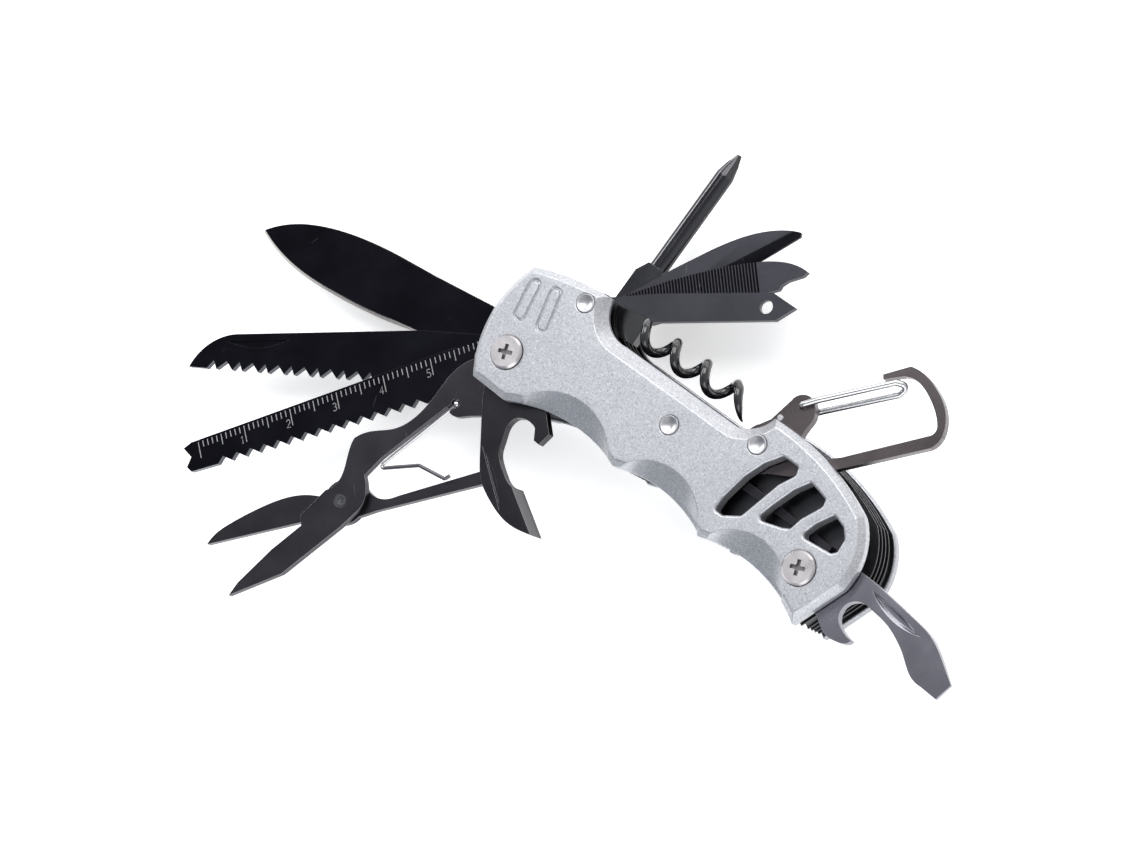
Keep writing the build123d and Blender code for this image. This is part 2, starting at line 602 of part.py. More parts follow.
with BuildPart() as flat_driver:
    with BuildSketch(tool_plane((TAIL_X, 0), DRIVER_AT, LAYER_Z["opener"] + GAP)):
        with BuildLine():
            Line((0.0, 4.8), (3.0, 4.8))
            Spline((3.0, 4.8), (8.7, 5.7), (14.4, 5.4), (21.8, 4.6), (25.7, 3.9), (28.9, 2.3), (33.7, -0.9))
            Polyline((33.7, -0.9), (32.9, -4.4), (29.5, -4.2))
            Spline((29.5, -4.2), (26.3, -3.5), (23.6, -1.6), (20.9, -0.1), (17.4, 1.1), (14.1, 1.5), (12.3, 1.6),
                   (10.4, 0.6), (9.6, -1.0), (10.0, -3.0), (11.7, -4.3), (14.3, -4.9))
            Spline((14.3, -4.9), (14.1, -5.6), (12.2, -6.6), (9.8, -6.8), (6.7, -5.2), (4.0, -4.6))
            Polyline((4.0, -4.6), (0.0, -4.8), (0.0, 4.8))
        make_face()
        Circle(DRIVER_TANG_R)
        Circle(TANG_HOLE_R, mode=Mode.SUBTRACT)
    extrude(amount=OPENER_T)
    with BuildSketch(side_plane((TAIL_X, 0), DRIVER_AT, LAYER_Z["opener"] + GAP)):
        with BuildLine():
            Polyline((27.0, OPENER_T + 0.01), (35.0, OPENER_T + 0.01), (35.0, OPENER_T - 0.65), close=True)
        make_face()
        with BuildLine():
            Polyline((27.0, -0.01), (35.0, -0.01), (35.0, 0.65), close=True)
        make_face()
    extrude(amount=10.0, both=True, mode=Mode.SUBTRACT)
    driver_top = LAYER_Z["opener"] + GAP + OPENER_T
    deep = fuller_face(driver_top - FULLER_DEPTH, (13.4, 3.8), (18.0, 3.45), (23.0, 2.65), (18.0, 2.75))
    wide = fuller_face(driver_top + 0.02, (12.1, 4.4), (18.0, 3.95), (24.3, 2.7), (17.6, 2.2))
    loft([deep.face(), wide.face()], mode=Mode.SUBTRACT)
save(flat_driver, "flat_driver")


# ---------------------------------------------------------------- tools on the back rivet
with BuildPart() as needle:
    with BuildSketch(tool_plane(TOOL_RIVET, NEEDLE_AT, LAYER_Z["needle"] + GAP)):
        with BuildLine():
            Polyline((0.7, 3.35), (10.0, 3.7), (32.5, 3.0), (36.9, 0.0), (33.1, -2.2), (9.0, -1.6), (2.0, -2.7))
            Line((2.0, -2.7), (0.7, 3.35))
        make_face()
        Circle(BACK_TANG_R)
        Circle(BACK_HOLE_R, mode=Mode.SUBTRACT)
        with Locations((31.3, 0.4)):
            Circle(1.3, mode=Mode.SUBTRACT)
    extrude(amount=THIN_TOOL_T)
save(needle, "needle")

with BuildPart() as file:
    with BuildSketch(tool_plane(TOOL_RIVET, FILE_AT, LAYER_Z["ruler"] + GAP)):
        with BuildLine():
            Line((0.7, 3.3), (12.5, 4.3))
            Spline((12.5, 4.3), (21.3, 4.4), (28.8, 3.9), (32.3, 3.3), (35.1, 2.4), (37.4, 1.1), (38.9, -0.3))
            Polyline((38.9, -0.3), (37.8, -0.9), (34.9, -1.1), (33.6, -1.6), (33.0, -2.3), (10.0, -3.0), (0.7, -3.3))
            Line((0.7, -3.3), (0.7, 3.3))
        make_face()
        Circle(BACK_TANG_R)
        Circle(BACK_HOLE_R, mode=Mode.SUBTRACT)
    extrude(amount=THIN_TOOL_T)
save(file, "file")

with BuildPart() as reamer:
    with BuildSketch(tool_plane(TOOL_RIVET, REAMER_AT, LAYER_Z["saw"] + GAP)):
        with BuildLine():
            Line((0.7, 3.3), (12.8, 4.2))
            Spline((12.8, 4.2), (21.7, 4.5), (30.7, 3.8), (36.1, 2.0), (38.9, 0.3))
            Polyline((38.9, 0.3), (38.4, -0.4), (28.5, -1.4), (20.0, -2.4), (10.0, -3.2), (0.7, -3.3))
            Line((0.7, -3.3), (0.7, 3.3))
        make_face()
        Circle(BACK_TANG_R)
        Circle(BACK_HOLE_R, mode=Mode.SUBTRACT)
    extrude(amount=THIN_TOOL_T)
    facet_at = point_on_tool(TOOL_RIVET, REAMER_AT, 17.0, 0.1)
    reamer_top = LAYER_Z["saw"] + GAP + THIN_TOOL_T
    with BuildSketch(across_plane(facet_at, REAMER_AT + REAMER_FACET_TURN, reamer_top, 0.0)):
        with BuildLine():
            Polyline((0.0, 0.0), (-3.4, 0.0), (-3.4, -1.4), close=True)
        make_face()
    extrude(amount=24.0, mode=Mode.SUBTRACT)
save(reamer, "reamer")


def flute_shape(corner, middle_z):
    """One of the cross tip's four flutes, deeper towards the tip."""
    with BuildPart() as flute:
        for along, out, side in [(30.8, 2.7, 1.0), (38.4, 1.15, 1.7)]:
            with BuildSketch(across_plane(TOOL_RIVET, PHILLIPS_AT, middle_z, along)):
                with Locations((0.1, 0)):
                    with PolarLocations(out, 1, start_angle=corner):
                        Rectangle(side, side)
        loft()
    return flute.part


flutes = [flute_shape(corner, LAYER_Z["knife"] + GAP + PHILLIPS_T / 2) for corner in (45, 135, 225, 315)]

with BuildPart() as phillips_driver:
    floor = LAYER_Z["knife"] + GAP
    with BuildSketch(tool_plane(TOOL_RIVET, PHILLIPS_AT, floor)):
        with BuildLine():
            Polyline((0.7, 3.3), (10.0, 3.3), (12.5, 1.9), (12.5, -1.8), (9.0, -1.8), (0.7, -3.3), close=True)
        make_face()
        Circle(BACK_TANG_R)
        Circle(BACK_HOLE_R, mode=Mode.SUBTRACT)
    extrude(amount=PHILLIPS_T)
    with BuildSketch(across_plane(TOOL_RIVET, PHILLIPS_AT, floor + PHILLIPS_T / 2, 11.0)):
        with Locations((0.1, 0)):
            Ellipse(PHILLIPS_W / 2, PHILLIPS_T / 2)
    extrude(amount=22.5)
    with BuildSketch(across_plane(TOOL_RIVET, PHILLIPS_AT, floor + PHILLIPS_T / 2, 33.5)):
        with Locations((0.1, 0)):
            Ellipse(PHILLIPS_W / 2, PHILLIPS_T / 2)
    with BuildSketch(across_plane(TOOL_RIVET, PHILLIPS_AT, floor + PHILLIPS_T / 2, 38.2)):
        with Locations((0.1, 0)):
            Ellipse(0.7, 0.5)
    loft()
    for flute in flutes:
        add(flute, mode=Mode.SUBTRACT)
save(phillips_driver, "phillips_driver")

worm_plane = across_plane(TOOL_RIVET, CORKSCREW_AT, CORK_AXIS_Z, WORM_START)
worm_at = worm_plane.location * Location((WORM_SIDE, 0, 0), (0, 0, WORM_TURNED))
worm = worm_at * Helix(WORM_PITCH, WORM_PITCH * WORM_TURNS, WORM_R)
cork_plane = tool_plane(TOOL_RIVET, CORKSCREW_AT, 0.0)
point_line = Spline(worm @ 1, *[cork_plane.from_local_coords(centre) for centre in WORM_POINT])

with BuildPart() as corkscrew:
    with BuildSketch(tool_plane(TOOL_RIVET, CORKSCREW_AT, CORK_TANG_Z)):
        with BuildLine():
            Polyline((-0.2, 3.35), (8.4, 3.9), (9.5, 2.8), (9.6, -1.5), (6.0, -1.8), (2.0, -2.7), (-0.2, 3.35))
        make_face()
        Circle(BACK_TANG_R)
        Circle(BACK_HOLE_R, mode=Mode.SUBTRACT)
    extrude(amount=CORK_TANG_T)
    with BuildSketch(Plane(origin=worm @ 0, z_dir=worm % 0)):
        Circle(WORM_WIRE_R)
    sweep(path=worm, is_frenet=True)
    for step, radius in enumerate(POINT_R):
        share = step / (len(POINT_R) - 1)
        with BuildSketch(Plane(origin=point_line @ share, z_dir=point_line % share)):
            Circle(radius)
    loft()
save(corkscrew, "corkscrew")


# ---------------------------------------------------------------- carabiner on the tail rivet
with BuildPart() as carabiner_frame:
    with BuildSketch(tool_plane(RING_RIVET, RING_AT, LAYER_Z["opener"] + GAP)):
        with BuildLine():
            Polyline((0.0, -4.6), (4.0, -6.0), (12.5, -6.5), (30.0, -6.15))
            Spline((30.0, -6.15), (31.9, -5.2), (33.4, -2.6), (33.7, 0.6), (32.7, 4.2), (30.6, 7.6), (28.7, 9.1))
            Polyline((28.7, 9.1), (23.5, 8.75), (23.4, 7.85), (27.2, 7.6))
            Spline((27.2, 7.6), (29.4, 6.3), (31.3, 2.7), (32.0, -1.7), (31.7, -3.1), (30.6, -3.9))
            Polyline((30.6, -3.9), (14.0, -4.5), (5.4, -3.7))
            Spline((5.4, -3.7), (5.9, -1.4), (7.0, 0.5), (8.4, 2.05), (9.8, 3.4), (10.35, 5.0), (9.95, 7.3),
                   (8.6, 8.15), (6.3, 7.65))
            Polyline((6.3, 7.65), (2.0, 5.0), (-1.0, 4.4), (0.0, -4.6))
        make_face()
        Circle(RING_TANG_R)
        Circle(BACK_HOLE_R, mode=Mode.SUBTRACT)
        with Locations(RING_PIN):
            Circle(RING_PIN_R, mode=Mode.SUBTRACT)
        with Locations(GATE_EYE):
            Circle(GATE_R + RUN, mode=Mode.SUBTRACT)
    extrude(amount=OPENER_T)
save(carabiner_frame, "carabiner_frame")

with BuildPart() as carabiner_pin:
    with BuildSketch(tool_plane(RING_RIVET, RING_AT, LAYER_Z["opener"] + GAP)):
        with Locations(RING_PIN):
            Circle(RING_PIN_R)
    extrude(amount=OPENER_T)
save(carabiner_pin, "carabiner_pin")

with BuildPart() as carabiner_gate:
    with BuildLine(tool_plane(RING_RIVET, RING_AT, 0.0)) as gate:
        FilletPolyline(
            (GATE_EYE[0], GATE_EYE[1], LAYER_Z["opener"] + GAP),
            (GATE_EYE[0], GATE_EYE[1], GATE_OVER_Z),
            (11.4, 6.45, GATE_OVER_Z),
            (25.6, 6.85, 17.3),
            (27.6, 5.85, 16.55),
            (25.6, 4.9, 15.8),
            (11.0, 5.15, GATE_UNDER_Z),
            (8.9, 5.1, GATE_UNDER_Z),
            radius=0.75,
        )
    with BuildSketch(Plane(origin=gate.line @ 0, z_dir=gate.line % 0)):
        Circle(GATE_R)
    sweep(path=gate.line)
save(carabiner_gate, "carabiner_gate")
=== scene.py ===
"""Looks for the folding multi tool: rounded edges, engraved marks, materials, floor, light and camera."""

import json
from math import cos, pi, radians, sin

import bmesh
import bpy
from mathutils import Matrix, Vector


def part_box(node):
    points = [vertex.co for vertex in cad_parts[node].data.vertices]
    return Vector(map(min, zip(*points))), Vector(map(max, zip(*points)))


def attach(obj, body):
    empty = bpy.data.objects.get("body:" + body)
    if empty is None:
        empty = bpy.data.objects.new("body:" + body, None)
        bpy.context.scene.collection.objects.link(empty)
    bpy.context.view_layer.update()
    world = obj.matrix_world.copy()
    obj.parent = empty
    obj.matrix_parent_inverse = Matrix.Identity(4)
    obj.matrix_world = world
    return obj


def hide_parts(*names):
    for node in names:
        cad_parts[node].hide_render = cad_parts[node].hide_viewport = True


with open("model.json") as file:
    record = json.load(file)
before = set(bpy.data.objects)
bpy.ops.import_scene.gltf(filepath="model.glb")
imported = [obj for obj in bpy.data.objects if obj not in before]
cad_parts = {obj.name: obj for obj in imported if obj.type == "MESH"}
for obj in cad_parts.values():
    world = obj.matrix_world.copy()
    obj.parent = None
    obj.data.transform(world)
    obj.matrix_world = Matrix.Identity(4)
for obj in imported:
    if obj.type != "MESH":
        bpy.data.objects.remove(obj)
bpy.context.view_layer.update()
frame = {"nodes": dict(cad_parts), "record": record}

MM = 0.001
nodes = frame["nodes"]
hinge_at = {joint["name"]: Vector(joint["pos_m"]) for joint in frame["record"]["behaviour"]["joints"]}
body_of_node = {
    node: body for body, members in frame["record"]["behaviour"]["bodies"].items() for node in members
}

# angle of each tool from the handle's axis as it stands open, in degrees
OPEN_AT = {
    "knife": -171.4, "saw": -147.5, "ruler": -132.5, "scissors_blade": -107.8, "scissors_lever": -95.0,
    "can_opener": -45.0, "flat_driver": 0.0, "needle": 34.8, "file": 45.7, "reamer": 57.2,
    "phillips_driver": 89.2, "carabiner_frame": 45.0,
}


# ---------------------------------------------------------------- materials
class Recipe:
    """A material whose nodes are added one at a time, each named call returning the new node."""

    def __init__(self, name):
        self.material = bpy.data.materials.new(name)
        self.material.use_nodes = True
        self.tree = self.material.node_tree
        self.shader = self.tree.nodes["Principled BSDF"]

    def node(self, kind, **settings):
        made = self.tree.nodes.new(kind)
        for key, value in settings.items():
            if key in made.inputs:
                made.inputs[key].default_value = value
            else:
                setattr(made, key, value)
        return made

    def join(self, source, output, target, socket):
        self.tree.links.new(source.outputs[output], target.inputs[socket])

    def shade(self, **values):
        for key, value in values.items():
            self.shader.inputs[key.replace("_", " ")].default_value = value

    def place(self, turn=0.0, stretch=(1.0, 1.0, 1.0)):
        """Object coordinates turned about Z and scaled along the turned axes."""
        coords = self.node("ShaderNodeTexCoord")
        turned = self.node("ShaderNodeMapping")
        turned.inputs["Rotation"].default_value = (0.0, 0.0, -radians(turn))
        self.join(coords, "Object", turned, "Vector")
        scaled = self.node("ShaderNodeMapping")
        scaled.inputs["Scale"].default_value = stretch
        self.join(turned, "Vector", scaled, "Vector")
        return scaled

    def noise(self, where, scale, detail=2.0, roughness=0.5):
        made = self.node("ShaderNodeTexNoise", Scale=scale, Detail=detail, Roughness=roughness)
        self.join(where, "Vector", made, "Vector")
        return made

    def remap(self, source, output, low, high, to_low, to_high):
        made = self.node("ShaderNodeMapRange")
        for socket, value in (("From Min", low), ("From Max", high), ("To Min", to_low), ("To Max", to_high)):
            made.inputs[socket].default_value = value
        self.join(source, output, made, "Value")
        return made

    def sums(self, operation, first, second):
        """A math node fed by the first outputs of two nodes."""
        made = self.node("ShaderNodeMath", operation=operation)
        self.join(first, 0, made, 0)
        self.join(second, 0, made, 1)
        return made

    def mix(self, share, first, second):
        """Blends two colours, each a tuple or a mix node, by the first output of share."""
        made = self.node("ShaderNodeMix", data_type="RGBA")
        self.join(share, 0, made, 0)
        for socket, colour in ((6, first), (7, second)):
            if isinstance(colour, tuple):
                made.inputs[socket].default_value = (*colour, 1.0)
            else:
                self.join(colour, 2, made, socket)
        return made

    def bump(self, source, strength, distance):
        made = self.node("ShaderNodeBump", Strength=strength, Distance=distance)
        self.join(source, 0, made, "Height")
        self.join(made, "Normal", self.shader, "Normal")

    def steepness(self):
        """0 on upright walls, 1 on flat tops."""
        geometry = self.node("ShaderNodeNewGeometry")
        parts = self.node("ShaderNodeSeparateXYZ")
        self.join(geometry, "True Normal", parts, 0)
        size = self.node("ShaderNodeMath", operation="ABSOLUTE")
        self.join(parts, "Z", size, 0)
        return size

    def slanted(self, size):
        """1 on ground facets and bevels, 0 on flat tops and upright walls."""
        off_wall = self.remap(size, 0, 0.12, 0.3, 0.0, 1.0)
        off_flat = self.remap(size, 0, 0.93, 0.985, 1.0, 0.0)
        return self.sums("MULTIPLY", off_wall, off_flat)


def tool_steel(name, dark, light, roughness, turn=0.0, ground=None, walls=None):
    """Coated or satin steel, brushed along a tool, with its own tone on ground facets and a painted highlight
    on upright walls; a near-black facet tone is painted shade.
    """
    recipe = Recipe(name)
    along = recipe.place(turn, (70.0, 2600.0, 900.0))
    grain = recipe.noise(along, 1.0, 3.0, 0.6)
    smudge = recipe.noise(recipe.place(turn), 110.0, 4.0, 0.55)
    tone = recipe.mix(smudge, dark, light)
    brushed = recipe.mix(recipe.remap(grain, 0, 0.35, 0.75, 0.0, 0.3), tone, light)
    size = recipe.steepness()
    facets = recipe.remap(recipe.slanted(size), 0, 0.0, 1.0, 0.0, 0.8)
    faced = recipe.mix(facets, brushed, ground or light)
    # painted highlight: upright walls take the given wall tone, the lighter tone when none is given
    highlit_walls = recipe.mix(recipe.remap(size, 0, 0.1, 0.25, 0.8, 0.0), faced, walls or light)
    scratch_field = recipe.noise(recipe.place(turn + 64.0, (150.0, 2300.0, 2300.0)), 1.0, 1.0, 0.4)
    scratches = recipe.remap(scratch_field, 0, 0.785, 0.82, 0.0, 0.4)
    marked = recipe.mix(scratches, highlit_walls, (0.2, 0.2, 0.21))
    recipe.join(marked, 2, recipe.shader, "Base Color")
    gloss = recipe.remap(smudge, 0, 0.3, 0.7, roughness - 0.04, roughness + 0.08)
    recipe.join(gloss, 0, recipe.shader, "Roughness")
    recipe.shade(Metallic=1.0)
    recipe.bump(grain, 0.14, 0.00002)
    return recipe.material


def scale_paint():
    """Silver paint with fine metal flakes over a cast grain."""
    recipe = Recipe("scale_paint")
    where = recipe.place()
    flakes = recipe.node("ShaderNodeTexVoronoi", Scale=5600.0)
    recipe.join(where, "Vector", flakes, "Vector")
    glint = recipe.node("ShaderNodeSeparateColor")
    recipe.join(flakes, "Color", glint, "Color")
    grain = recipe.noise(where, 3500.0, 2.0, 0.6)
    clouds = recipe.noise(where, 90.0, 3.0, 0.5)
    base = recipe.mix(recipe.remap(clouds, 0, 0.3, 0.7, 0.0, 1.0), (0.455, 0.462, 0.49), (0.505, 0.512, 0.54))
    pits = recipe.mix(recipe.remap(grain, 0, 0.36, 0.5, 0.5, 0.0), base, (0.22, 0.225, 0.25))
    lit = recipe.mix(recipe.remap(glint, 0, 0.75, 1.0, 0.0, 0.5), pits, (0.8, 0.81, 0.83))
    recipe.join(lit, 2, recipe.shader, "Base Color")
    gloss = recipe.remap(glint, 1, 0.0, 1.0, 0.34, 0.46)
    recipe.join(gloss, 0, recipe.shader, "Roughness")
    recipe.shade(Metallic=0.75)
    recipe.bump(grain, 0.4, 0.00004)
    return recipe.material


def bright_steel(name, tone, roughness, recess_shade=None):
    """Turned or drawn bright steel with faint smudges, darkened by painted shade below a pair of heights when
    they are given.
    """
    recipe = Recipe(name)
    smudge = recipe.noise(recipe.place(), 420.0, 3.0, 0.5)
    colour = recipe.mix(smudge, tuple(0.9 * part for part in tone), tone)
    if recess_shade:
        parts = recipe.node("ShaderNodeSeparateXYZ")
        recipe.join(recipe.place(), "Vector", parts, 0)
        # painted shade: mostly near black under the lower height, fading out by the upper one
        colour = recipe.mix(recipe.remap(parts, "Z", *recess_shade, 0.75, 0.0), colour, (0.1, 0.1, 0.102))
    recipe.join(colour, 2, recipe.shader, "Base Color")
    gloss = recipe.remap(smudge, 0, 0.3, 0.7, roughness - 0.04, roughness + 0.06)
    recipe.join(gloss, 0, recipe.shader, "Roughness")
    recipe.shade(Metallic=1.0)
    recipe.bump(smudge, 0.08, 0.00002)
    return recipe.material


def gloss_black():
    """Smooth black lacquer, a little cloudy."""
    recipe = Recipe("gloss_black")
    clouds = recipe.noise(recipe.place(), 160.0, 2.0, 0.5)
    colour = recipe.mix(clouds, (0.004, 0.004, 0.005), (0.012, 0.012, 0.014))
    recipe.join(colour, 2, recipe.shader, "Base Color")
    recipe.join(recipe.remap(clouds, 0, 0.3, 0.7, 0.14, 0.22), 0, recipe.shader, "Roughness")
    recipe.shade(Coat_Weight=0.7, Coat_Roughness=0.06)
    recipe.bump(clouds, 0.05, 0.00004)
    return recipe.material


def etched_white():
    """Thin frosted mark left by etching."""
    recipe = Recipe("etched_white")
    speckle = recipe.noise(recipe.place(), 3800.0, 2.0, 0.6)
    colour = recipe.mix(speckle, (0.12, 0.12, 0.13), (0.42, 0.42, 0.43))
    recipe.join(colour, 2, recipe.shader, "Base Color")
    recipe.shade(Roughness=0.6)
    return recipe.material


# ---------------------------------------------------------------- mesh helpers
def link(name, mesh):
    piece = bpy.data.objects.new(name, mesh)
    bpy.context.scene.collection.objects.link(piece)
    return piece


def bake(piece):
    """Replaces a piece's mesh by what its modifiers make of it."""
    graph = bpy.context.evaluated_depsgraph_get()
    graph.update()
    piece.data = bpy.data.meshes.new_from_object(piece.evaluated_get(graph))
    piece.modifiers.clear()


def shade_smooth(piece, sharp_from):
    """Smooth faces, with edges sharper than an angle in degrees kept sharp."""
    mesh = piece.data
    mesh.polygons.foreach_set("use_smooth", [True] * len(mesh.polygons))
    mesh.set_sharp_from_angle(angle=radians(sharp_from))


def copy_of(node, suffix):
    """A clean copy of a node's mesh, with its flat areas joined into single faces."""
    mesh = nodes[node].data.copy()
    if "custom_normal" in mesh.attributes:
        mesh.attributes.remove(mesh.attributes["custom_normal"])
    shape = bmesh.new()
    shape.from_mesh(mesh)
    bmesh.ops.remove_doubles(shape, verts=shape.verts, dist=0.001 * MM)
    bmesh.ops.dissolve_limit(shape, angle_limit=radians(1.0), verts=shape.verts, edges=shape.edges)
    shape.to_mesh(mesh)
    shape.free()
    return link(node + suffix, mesh)


def stand_for(piece, node, material):
    """Makes a piece ride on a node's body in the node's place, with the given material."""
    piece.data.materials.clear()
    piece.data.materials.append(material)
    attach(piece, body_of_node[node])
    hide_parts(node)


def dress(node, material):
    """Gives a node that keeps its own shape its material."""
    nodes[node].data.materials.clear()
    nodes[node].data.materials.append(material)


def softened(node, width, material, sharp_from=30.0):
    """A node's shape with its sharp edges rounded off."""
    piece = copy_of(node, "_soft")
    rounding = piece.modifiers.new("rounding", "BEVEL")
    rounding.width = width * MM
    rounding.segments = 2
    rounding.limit_method = "ANGLE"
    rounding.angle_limit = radians(sharp_from)
    bake(piece)
    shade_smooth(piece, 50.0)
    even = piece.modifiers.new("even", "WEIGHTED_NORMAL")
    even.keep_sharp = True
    bake(piece)
    stand_for(piece, node, material)
    return piece


def cast(node, voxel, rounds, kept, material):
    """A node's shape with every edge rounded the way a cast and painted part is.

    It is remeshed at a voxel size in millimetres, eased in rounds, and thinned to the share of faces kept."""
    piece = copy_of(node, "_cast")
    skin = piece.modifiers.new("skin", "REMESH")
    skin.mode = "VOXEL"
    skin.voxel_size = voxel * MM
    ease = piece.modifiers.new("ease", "SMOOTH")
    ease.factor = 0.5
    ease.iterations = rounds
    thin = piece.modifiers.new("thin", "DECIMATE")
    thin.ratio = kept
    bake(piece)
    shade_smooth(piece, 60.0)
    stand_for(piece, node, material)
    return piece


def mesh_from(name, corners, faces):
    """A linked piece from corners in millimetres."""
    mesh = bpy.data.meshes.new(name)
    mesh.from_pydata([Vector(corner) * MM for corner in corners], [], faces)
    mesh.validate()
    return link(name, mesh)


def turned(name, centres, profile, steps=48):
    """Closed turned solids on several centres, from one profile of radius and height in millimetres.

    The profile's first and last points lie on the axis."""
    corners, faces = [], []
    for centre in centres:
        bottom = len(corners)
        corners.append((centre.x / MM, centre.y / MM, profile[0][1]))
        for radius, height in profile[1:-1]:
            for step in range(steps):
                angle = 2 * pi * step / steps
                out, side = radius * cos(angle), radius * sin(angle)
                corners.append((centre.x / MM + out, centre.y / MM + side, height))
        corners.append((centre.x / MM, centre.y / MM, profile[-1][1]))
        rings = len(profile) - 2
        for step in range(steps):
            following = (step + 1) % steps
            faces.append((bottom, bottom + 1 + following, bottom + 1 + step))
            for ring in range(rings - 1):
                low = bottom + 1 + ring * steps
                high = low + steps
                faces.append((low + step, low + following, high + following, high + step))
            top = bottom + 1 + (rings - 1) * steps
            faces.append((top + step, top + following, len(corners) - 1))
    return mesh_from(name, corners, faces)


def tubes(name, paths, radius):
    """Round strokes along several paths of points in millimetres, as one mesh."""
    curve = bpy.data.curves.new(name, "CURVE")
    curve.dimensions = "3D"
    curve.bevel_depth = radius * MM
    curve.bevel_resolution = 3
    curve.use_fill_caps = True
    for path in paths:
        spline = curve.splines.new("POLY")
        spline.points.add(len(path) - 1)
        for point, place in zip(spline.points, path):
            point.co = (*(Vector(place) * MM), 1.0)
    source = bpy.data.objects.new(name + "_source", curve)
    mesh = bpy.data.meshes.new_from_object(source)
    bpy.data.objects.remove(source)
    return link(name, mesh)


class Tool:
    """Turns lengths along and across an open tool, in millimetres, into places in the model."""

    def __init__(self, hinge, angle):
        self.pivot = hinge_at[hinge]
        self.angle = radians(angle)

    def at(self, along, left, height):
        """A corner in millimetres."""
        return (
            self.pivot.x / MM + along * cos(self.angle) - left * sin(self.angle),
            self.pivot.y / MM + along * sin(self.angle) + left * cos(self.angle),
            height,
        )


def prism(corners, faces, outline, tool, low, high):
    """Adds an upright prism over an outline to growing lists of corners and faces."""
    first = len(corners)
    count = len(outline)
    for height in (low, high):
        corners.extend(tool.at(along, left, height) for along, left in outline)
    faces.append(tuple(first + index for index in reversed(range(count))))
    faces.append(tuple(first + count + index for index in range(count)))
    for index in range(count):
        following = (index + 1) % count
        faces.append((first + index, first + following, first + count + following, first + count + index))


paint = scale_paint()
cast("front_scale", voxel=0.15, rounds=4, kept=0.25, material=paint)
cast("rear_scale", voxel=0.24, rounds=4, kept=0.4, material=paint)

liner_steel = tool_steel("liner_steel", (0.035, 0.035, 0.038), (0.07, 0.07, 0.076), 0.34)
spring_steel = tool_steel("spring_steel", (0.02, 0.02, 0.023), (0.045, 0.045, 0.05), 0.36)
turned_steel = bright_steel("turned_steel", (0.5, 0.475, 0.48), 0.32)
# painted shade in the screws' cross: darker from just under the head's top down to its floor
SCREW_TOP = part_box("screws")[1][2]
CROSS_DEPTH = 0.75 * MM
CROSS_LIP = 0.1 * MM
cross = (SCREW_TOP - CROSS_DEPTH, SCREW_TOP - CROSS_LIP)
screw_steel = bright_steel("screw_steel", (0.64, 0.61, 0.62), 0.3, cross)
rivet_steel = bright_steel("rivet_steel", (0.5, 0.5, 0.52), 0.34)
wire_steel = bright_steel("wire_steel", (0.6, 0.6, 0.61), 0.2)
# painted shade: the spring's arm is the same wire as its leg, only darker
dark_wire = bright_steel("dark_wire", (0.14, 0.14, 0.15), 0.3)

for node in nodes:
    if node.startswith("liner"):
        softened(node, 0.06, liner_steel)
    elif node.startswith("back_spring"):
        softened(node, 0.08, spring_steel)
    elif node.endswith("spacer"):
        softened(node, 0.08, spring_steel)
softened("barrels", 0.09, turned_steel)
dress("screws", screw_steel)

# rivets: turned heads, level with the rear scale, a little proud of the front one and dished there
RIVET_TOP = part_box("rivets")[1][2] / MM
SPRING_RIVET = (35.0, 6.8, 0.0)
RIVET_OUTLINE = [
    (0.0, 0.2), (1.0, 0.14), (1.55, 0.0), (1.8, 0.14), (1.8, 0.8), (1.48, 0.8),
    (1.48, RIVET_TOP - 0.8), (1.8, RIVET_TOP - 0.8), (1.8, RIVET_TOP), (1.72, RIVET_TOP + 0.12),
    (1.55, RIVET_TOP + 0.14), (1.3, RIVET_TOP + 0.04), (0.9, RIVET_TOP - 0.14), (0.45, RIVET_TOP - 0.24),
    (0.0, RIVET_TOP - 0.27),
]
spring_rivet_at = hinge_at["knife_fold"] + Vector(SPRING_RIVET) * MM
heads = turned(
    "rivet_heads", [hinge_at["needle_fold"], spring_rivet_at, hinge_at["carabiner_swing"]], RIVET_OUTLINE
)
shade_smooth(heads, 40.0)
stand_for(heads, "rivets", rivet_steel)


# ---------------------------------------------------------------- tools
# each finish: its darker and lighter tone, and the tone of its ground facets, which for the needle, file and
# reamer is painted shade
BLACK = ((0.008, 0.008, 0.011), (0.013, 0.013, 0.018), (0.03, 0.03, 0.034))
KEEN = ((0.008, 0.008, 0.011), (0.013, 0.013, 0.018), (0.5, 0.47, 0.45))
DARK = ((0.026, 0.026, 0.03), (0.044, 0.043, 0.05), (0.19, 0.185, 0.19))
GREY = ((0.034, 0.032, 0.038), (0.056, 0.053, 0.061), (0.24, 0.235, 0.24))
# the needle, file and reamer get a near-black facet tone: painted shade on the file's groove flanks and the
# reamer's down-facing facet
SLATE_SHADED = ((0.035, 0.035, 0.042), (0.058, 0.057, 0.068), (0.01, 0.01, 0.012))
GLOSSY = ((0.04, 0.04, 0.044), (0.06, 0.06, 0.065), (0.11, 0.11, 0.115))
BLUISH = ((0.2, 0.197, 0.228), (0.26, 0.256, 0.292), (0.4, 0.4, 0.43))
BROWNISH = ((0.075, 0.065, 0.068), (0.115, 0.1, 0.104), (0.26, 0.24, 0.24))
# each tool: its finish and its roughness
FINISHES = {
    "knife": (KEEN, 0.2), "saw": (BLACK, 0.22), "ruler": (BLACK, 0.26), "scissors_blade": (GREY, 0.3),
    "scissors_lever": (GREY, 0.3), "can_opener": (DARK, 0.27), "flat_driver": (BLUISH, 0.24),
    "needle": (SLATE_SHADED, 0.3), "file": (SLATE_SHADED, 0.34), "reamer": (SLATE_SHADED, 0.3), "phillips_driver": (GLOSSY, 0.1),
    "carabiner_frame": (BROWNISH, 0.26),
}
